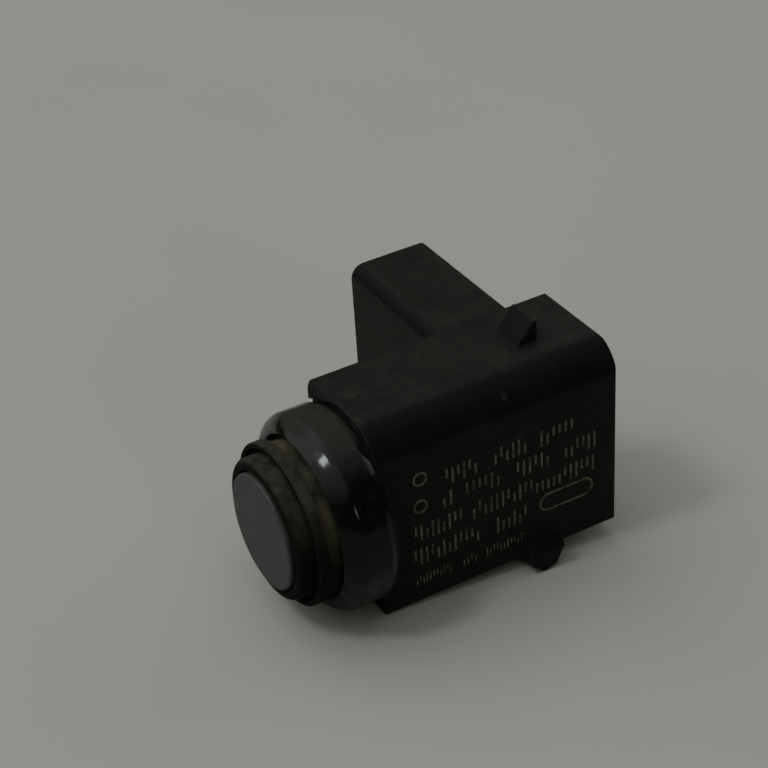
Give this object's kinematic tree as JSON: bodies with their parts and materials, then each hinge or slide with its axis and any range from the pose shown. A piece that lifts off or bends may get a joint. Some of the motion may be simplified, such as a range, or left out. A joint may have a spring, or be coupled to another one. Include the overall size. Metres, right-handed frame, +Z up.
{
  "type": "parking sensor",
  "caption": "Ultrasonic bumper parking sensor: narrow moulded housing with a round collared nose holding a membrane cup in a rubber ring, a side plug socket and clip lugs.",
  "frame": {"origin": "on the sensing axis, inside the collar's straight land", "axes": "-Y is the way the nose looks, +Y runs to the rear cover, -X is the way the plug socket opens, +Z is up"},
  "size_m": [0.0381, 0.0437, 0.0293],
  "materials": {
    "housing_plastic": "matte moulded black, worn pale along its edges",
    "collar_plastic": "gloss black",
    "ring_rubber": "dusty dark rubber",
    "cup_aluminium": "dull grey worn paint",
    "piezo_ceramic": "matt ceramic",
    "foam": "fine foam",
    "seal_rubber": "cast silicone",
    "red_wire": "insulated wire",
    "black_wire": "insulated wire",
    "board": "green solder mask",
    "chip_plastic": "moulded black",
    "bobbin_plastic": "moulded brown",
    "copper": "enamelled copper wire",
    "ferrite": "ground ferrite",
    "can_aluminium": "bare aluminium can",
    "capacitor_ceramic": "ceramic",
    "terminal_brass": "tinned brass",
    "cover_plastic": "matte moulded black",
    "print_ink": "thin pale print, rubbed"
  },
  "bodies": {
    "root": {"housing": "housing_plastic", "front_collar": "collar_plastic", "decoupling_ring": "ring_rubber", "membrane_pot": "cup_aluminium", "piezo_disc": "piezo_ceramic", "damping_foam": "foam", "pot_seal": "seal_rubber", "live_wire": "red_wire", "ground_wire": "black_wire", "circuit_board": "board", "control_chip": "chip_plastic", "transformer_bobbin": "bobbin_plastic", "transformer_winding": "copper", "transformer_core": "ferrite", "supply_capacitor": "can_aluminium", "chip_capacitors": "capacitor_ceramic", "chip_resistors": "chip_plastic", "terminal_pin_supply": "terminal_brass", "terminal_pin_signal": "terminal_brass", "terminal_pin_ground": "terminal_brass", "rear_cover": "cover_plastic"}
  },
  "joints": []
}
